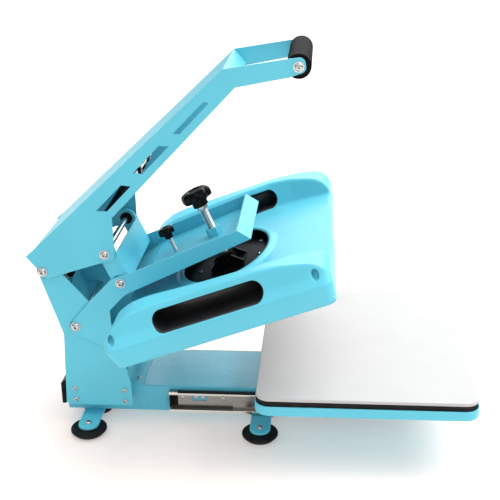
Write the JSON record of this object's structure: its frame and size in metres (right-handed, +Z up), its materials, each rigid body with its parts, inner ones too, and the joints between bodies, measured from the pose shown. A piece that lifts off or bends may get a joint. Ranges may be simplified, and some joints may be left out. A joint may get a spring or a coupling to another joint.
{
  "type": "flat heat press",
  "caption": "Clamshell heat press with a shrouded flat heated platen on a lever-and-link lift arm over a padded tray that slides out like a drawer.",
  "frame": {"origin": "on the ground under the middle of the press, drawer out", "axes": "+X towards the operator, +Y to the right of an operator facing +X, +Z up"},
  "size_m": [0.8416, 0.6, 0.742],
  "materials": {
    "blue_paint": "satin powder coat",
    "rubber": "matt",
    "steel": "zinc plated",
    "rail_steel": "zinc plated",
    "black_plastic": "matt",
    "black_gloss": "gloss",
    "aluminium": "machined",
    "white_facing": "matt",
    "pad_rubber": "matt",
    "wool": "matt",
    "black_tube": "gloss"
  },
  "bodies": {
    "frame": {"rear_foot_bar": "blue_paint", "front_foot_bar": "blue_paint", "outer_feet": "rubber", "inner_feet": "rubber", "foot_screws": "steel", "base_channel": "blue_paint", "base_bottom_plate": "blue_paint", "column_plate_left": "blue_paint", "column_plate_right": "blue_paint", "column_spacers": "blue_paint", "column_screws": "steel", "column_rear_panel": "blue_paint", "column_front_panel": "blue_paint", "power_inlet": "black_plastic", "power_switch": "black_gloss", "column_rods": "steel", "column_pivot_screws": "steel", "pivot_spacer_rings": "black_plastic", "slide_outer_members": "rail_steel", "slide_end_stops": "black_plastic", "slide_screws": "steel"},
    "handle": {"handle_frame": "blue_paint", "handle_grip": "black_gloss", "handle_rods": "steel", "handle_screws": "steel"},
    "link": {"link_channel": "blue_paint", "link_bushes": "black_plastic"},
    "arm": {"lift_arm": "blue_paint", "arm_link_rod": "steel", "arm_screws": "steel", "pressure_nut": "blue_paint"},
    "hub": {"swivel_block": "steel"},
    "pressure_screw": {"pressure_stud": "steel", "pressure_knob": "black_gloss"},
    "lock_screw": {"lock_stud": "steel", "lock_knob": "black_gloss"},
    "platen": {"platen_cover": "blue_paint", "vent_sleeves": "black_plastic", "platen_underframe": "blue_paint", "heating_plate": "aluminium", "insulation_mat": "wool", "carrier_plate": "black_tube", "carrier_screws": "steel", "clevis": "steel", "swivel_pin": "steel"},
    "gas_cylinders": {"spring_cylinders": "black_tube", "spring_collars": "steel"},
    "gas_rods": {"spring_rods": "steel"},
    "middle_slides": {"slide_middle_members": "rail_steel", "slide_ball_cages": "black_plastic"},
    "drawer": {"slide_inner_members": "rail_steel", "drawer_runners": "blue_paint", "drawer_tray": "blue_paint", "pad_core": "pad_rubber", "pad_facing": "white_facing"}
  },
  "joints": [
    {"name": "handle_lift", "type": "hinge", "parent": "frame", "child": "handle", "pos_m": [-0.3913, 0, 0.3335], "axis": [0, 1, 0], "range_deg": [0, 36], "stiffness_Nm_per_rad": 170, "springref_deg": -24.58},
    {"name": "arm_swing", "type": "hinge", "parent": "frame", "child": "arm", "pos_m": [-0.3363, 0, 0.22], "axis": [0, 1, 0], "range_deg": [0, 24.51]},
    {"name": "link_swing", "type": "hinge", "parent": "handle", "child": "link", "pos_m": [-0.2703, 0, 0.3705], "axis": [0, 1, 0], "range_deg": [-76.6, 0]},
    {"name": "pressure_travel", "type": "slide", "parent": "arm", "child": "hub", "axis": [-0.4147, 0, 0.91], "range_m": [-0.004, 0.004]},
    {"name": "pressure_turn", "type": "hinge", "parent": "hub", "child": "pressure_screw", "pos_m": [-0.05108, 0, 0.32481], "axis": [-0.4147, 0, 0.91], "range_deg": [-720.1, 720.1]},
    {"name": "platen_float", "type": "hinge", "parent": "hub", "child": "platen", "pos_m": [-0.05108, 0, 0.32481], "axis": [0, 1, 0], "range_deg": [-4.66, 0]},
    {"name": "lock_turn", "type": "hinge", "parent": "arm", "child": "lock_screw", "pos_m": [-0.15231, 0, 0.33715], "axis": [-0.4147, 0, 0.91], "range_deg": [-360, 360]},
    {"name": "spring_swing", "type": "hinge", "parent": "handle", "child": "gas_cylinders", "pos_m": [-0.2128, 0, 0.515], "axis": [0, 1, 0], "range_deg": [-0.66, 0]},
    {"name": "spring_stroke", "type": "slide", "parent": "gas_cylinders", "child": "gas_rods", "axis": [-0.5632, 0, -0.8263], "range_m": [-0.0304, 0]},
    {"name": "drawer_slide", "type": "slide", "parent": "frame", "child": "drawer", "axis": [1, 0, 0], "range_m": [-0.244, 0]},
    {"name": "middle_slide", "type": "slide", "parent": "frame", "child": "middle_slides", "axis": [1, 0, 0], "range_m": [-0.1221, 0]}
  ],
  "couplings": [
    {"joint": "arm_swing", "follows": "handle_lift", "ratio": 0.68056},
    {"joint": "link_swing", "follows": "handle_lift", "ratio": -2.1273},
    {"joint": "platen_float", "follows": "handle_lift", "ratio": -0.12917},
    {"joint": "spring_swing", "follows": "handle_lift", "ratio": -0.018184},
    {"joint": "spring_stroke", "follows": "handle_lift", "m_per_rad": -0.048212},
    {"joint": "pressure_turn", "follows": "pressure_travel", "rad_per_m": 3141.6},
    {"joint": "middle_slide", "follows": "drawer_slide", "ratio": 0.5}
  ]
}
